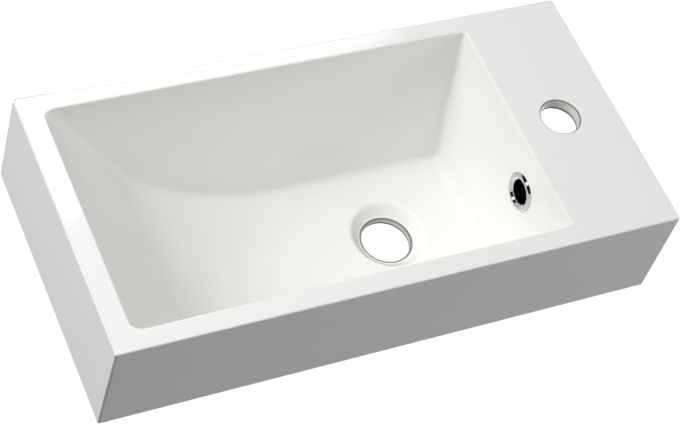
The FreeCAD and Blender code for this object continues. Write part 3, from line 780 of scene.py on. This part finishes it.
class BASIN_OT_elbow(bpy.types.Operator):
    """Mould the overflow elbow: a flanged housing that turns down into a hose spigot"""
    bl_idname = "basin.elbow"
    bl_label = "Overflow elbow"

    def execute(self, context):
        sizes = context.scene.basin_sizes
        near = (sizes.bowl_wall + sizes.gasket_thickness) / MM
        flange, back, middle = near + 3, near + 27, near + 15.5
        rim, barrel = 19, 14.9
        housing = turned(((near, 0, 0), (near, rim, 0.4), (flange, rim, 0.6), (flange, barrel, 0.8),
                          (back, barrel, 3.5), (back, 0, 0)))
        # The neck ends at the shoulder, and a bead near the mouth holds the hose.
        mouth, shoulder = sizes.spigot_length / MM, 20
        neck, tube, bead, lip = 11, 8.6, 9, 8
        spigot = turned(((0, 0, 0), (0, neck, 0), (shoulder, neck, 1.2), (shoulder, tube, 0.4),
                         (mouth - 4, tube, 0.4), (mouth - 3.4, bead, 0.3), (mouth - 1.4, bead, 0.4),
                         (mouth, lip, 0.3), (mouth, 0, 0)), (0, 0, -1))
        passage, below = 7, mouth + 10
        bore = turned(((0, 0, 0), (0, passage, 0), (below, passage, 0), (below, 0, 0)), (0, 0, -1), 64)
        for solid in (spigot, bore):
            bmesh.ops.translate(solid, verts=solid.verts, vec=(middle * MM, 0, 0))
        # The ring's stem sits in the socket, and the water turns down in the room behind it.
        seat, end = near + 10, back - 2.5
        socket, room = 12.4, 10.8
        chamber = turned(((0, 0, 0), (0, socket, 0), (seat, socket, 0), (seat, room, 0.5), (end, room, 3),
                          (end, 0, 0)))
        mesh = carved(housing, (("UNION", spigot), ("DIFFERENCE", bore), ("DIFFERENCE", chamber)))
        overflow_piece("overflow_elbow_moulding", mesh, "overflow_elbow",
                       moulded_polypropylene(context.scene.basin_finish))
        return {"FINISHED"}


# Studio

# Where the camera stands, in metres, and its turn in degrees, as the photo's perspective gives them.
CAMERA_PLACE = (-0.66243, -0.91104, 1.3107)
CAMERA_TURN = (36.1561, -12.8507, -23.3648)

# A black cloth at the left that only reflections see: its middle, and its width and height.
FLAG_PLACE = (-2.52, 0.23, 1.59)
FLAG_SIZE = (8.3, 3.4)

# The floor's side in metres, and how brightly it glows for light, in reflections, and where it is seen.
FLOOR_SIDE = 16
FLOOR_GLOW = (0.0, 0.3, 0.9)

# Lamps round the middle of the basin, all LAMP_AWAY metres from it: name, height and bearing in degrees,
# width and height in metres, power in watts. Bearing 180 is left of the basin and 270 in front of it.
# Of these, only the tall strip at the left is mirrored in the basin and its ring.
MIDDLE = Vector((0, -HALF_DEPTH, 0))
LAMP_AWAY = 2.2
LAMPS = (
    ("strip", 33, 165, 0.6, 1.6, 3.8),
    ("key", 45, 165, 1.0, 1.0, 16.5),
    ("key_high", 60, 165, 0.9, 0.9, 10.4),
    ("key_low", 25, 165, 0.9, 0.9, 4.4),
    ("key_back", 45, 150, 1.0, 1.0, 2.2),
    ("top", 75, 180, 0.9, 0.9, 5.8),
    ("right_low", 20, 0, 0.9, 0.9, 3.0),
    ("front_right_low", 20, 315, 0.9, 0.9, 8.2),
    ("front", 45, 300, 1.0, 1.0, 2.5),
    ("front_low", 20, 250, 0.9, 0.9, 1.0),
)

# Two lamps with a place of their own: name, place, what it aims at, width, height, power, and roll
# and spread in degrees. The first is mirrored in the rim at the back and the left. The second
# lights the inside of the skirt that shows through the tap hole.
AIMED_LAMPS = (
    ("rim_shine", (0.57, 1.33, 1.67), (0.57, 1.33, 0), 0.85, 0.65, 5.5, 18.6, 180),
    ("under_ledge", (-0.10, -0.14, -0.62), (0.2415, -0.075, -0.008), 0.03, 0.03, 0.06, 0, 10),
)


def glow_level(tree, unseen, mirrored, seen):
    """A level for light that falls on the object, one for reflections, and one for what is seen directly."""
    path = add_node(tree, "ShaderNodeLightPath").outputs
    mirror = add_node(tree, "ShaderNodeMath", {0: path["Is Glossy Ray"], 1: path["Is Transmission Ray"]},
                      operation="MAXIMUM").outputs[0]
    level = add_node(tree, "ShaderNodeMapRange", {"Value": mirror, "To Min": unseen,
                                                  "To Max": mirrored}).outputs[0]
    return add_node(tree, "ShaderNodeMapRange", {"Value": path["Is Camera Ray"], "To Min": level,
                                                 "To Max": seen}).outputs[0]


def painted_board(studio):
    """Matt painted board: pale, and lit up to white where it is seen directly."""
    material, tree, shader, _ = new_material("matt_painted_board", Roughness=0.9, Base_Color=studio.floor,
                                             Emission_Color=(1, 1, 1, 1))
    drive(tree, shader, Emission_Strength=glow_level(tree, *FLOOR_GLOW))
    return material


def black_velvet():
    """Velvet: black, with no shine."""
    return new_material("black_velvet", Roughness=1.0, Base_Color=linear("#0A0A0A"))[0]


def board(name, place, facing, across, up, material):
    """A flat rectangle that belongs to the studio."""
    mesh = bmesh.new()
    laid = Matrix.Translation(place) @ turn_to(facing) @ Matrix.Diagonal((across, up, 1, 1))
    bmesh.ops.create_grid(mesh, x_segments=1, y_segments=1, size=0.5, matrix=laid)
    holder = add_mesh(name, mesh, material)
    return holder


def add_lamp(name, place, aim, width, height, power, roll=0, spread=180, mirrored=True):
    """Put a rectangular lamp in the scene, which no camera sees, facing what it aims at."""
    lamp = bpy.data.lights.new(name, "AREA")
    lamp.shape = "RECTANGLE"
    lamp.size = width
    lamp.size_y = height
    lamp.energy = power
    lamp.spread = math.radians(spread)
    holder = add_object(name, lamp)
    roll_turn = Matrix.Rotation(math.radians(roll), 4, "Z")
    holder.matrix_world = Matrix.Translation(place) @ turn_to(place - aim) @ roll_turn
    holder.visible_camera = False
    holder.visible_glossy = mirrored


def sky_light(strength):
    """A world that lights the scene by a little from all round, and is white where it is seen."""
    sky = bpy.data.worlds.new("studio_light")
    sky.use_nodes = True
    tree = sky.node_tree
    tree.nodes.clear()
    level = glow_level(tree, strength, 1.0, 1.0)
    light = add_node(tree, "ShaderNodeBackground", {"Color": (1, 1, 1, 1), "Strength": level})
    add_node(tree, "ShaderNodeOutputWorld", {"Surface": light.outputs[0]})
    return sky


def add_camera(lens):
    """Put the camera where the photo was taken from."""
    data = bpy.data.cameras.new("camera")
    data.lens = lens
    data.sensor_width = 36.0
    camera = add_object("camera", data)
    camera.location = CAMERA_PLACE
    camera.rotation_euler = [math.radians(angle) for angle in CAMERA_TURN]
    return camera


class BASIN_OT_stage(bpy.types.Operator):
    """Set up the floor, the lamps, the sky light and the camera"""
    bl_idname = "basin.stage"
    bl_label = "Stage"

    def execute(self, context):
        scene, studio = context.scene, context.scene.basin_studio
        board("floor", (0, 0, -studio.floor_drop), Vector((0, 0, 1)), FLOOR_SIDE, FLOOR_SIDE,
              painted_board(studio))
        flag = board("flag", FLAG_PLACE, Vector(FLAG_PLACE) - MIDDLE, *FLAG_SIZE, black_velvet())
        for kind in ("camera", "diffuse", "transmission", "shadow"):
            setattr(flag, "visible_" + kind, False)
        for name, rise_angle, bearing, width, height, power in LAMPS:
            way = Euler((0, -math.radians(rise_angle), math.radians(bearing))).to_matrix()
            place = MIDDLE + way @ Vector((LAMP_AWAY, 0, 0))
            add_lamp(name, place, MIDDLE, width, height, power * studio.light, mirrored=name == "strip")
        for name, place, aim, width, height, power, roll, spread in AIMED_LAMPS:
            add_lamp(name, Vector(place), Vector(aim), width, height, power * studio.light, roll, spread)
        scene.world = sky_light(studio.sky)
        scene.camera = add_camera(studio.lens)
        scene.view_settings.view_transform = "Standard"
        return {"FINISHED"}


# Add-on

SETTINGS = {"basin_sizes": BASIN_PG_sizes, "basin_finish": BASIN_PG_finish, "basin_studio": BASIN_PG_studio}
OPERATORS = (BASIN_OT_casting, BASIN_OT_ring, BASIN_OT_gasket, BASIN_OT_elbow, BASIN_OT_stage)


class BASIN_PT_sidebar(bpy.types.Panel):
    """The basin's settings, and the operators that build it"""
    bl_idname = "BASIN_PT_sidebar"
    bl_label = "Hand Basin"
    bl_space_type = "VIEW_3D"
    bl_region_type = "UI"
    bl_category = "Basin"

    def draw(self, context):
        for name, kind in SETTINGS.items():
            box = self.layout.box()
            for setting in kind.__annotations__:
                box.prop(getattr(context.scene, name), setting)
        for operator in OPERATORS:
            self.layout.operator(operator.bl_idname)


CLASSES = (*SETTINGS.values(), *OPERATORS, BASIN_PT_sidebar)


def register():
    for kind in CLASSES:
        bpy.utils.register_class(kind)
    for name, kind in SETTINGS.items():
        setattr(bpy.types.Scene, name, bpy.props.PointerProperty(type=kind))


def unregister():
    for name in SETTINGS:
        delattr(bpy.types.Scene, name)
    for kind in reversed(CLASSES):
        bpy.utils.unregister_class(kind)


def main():
    """Build the basin and its studio."""
    register()
    bpy.ops.basin.casting()
    bpy.ops.basin.ring()
    bpy.ops.basin.gasket()
    bpy.ops.basin.elbow()
    bpy.ops.basin.stage()


if __name__ == "__main__":
    main()
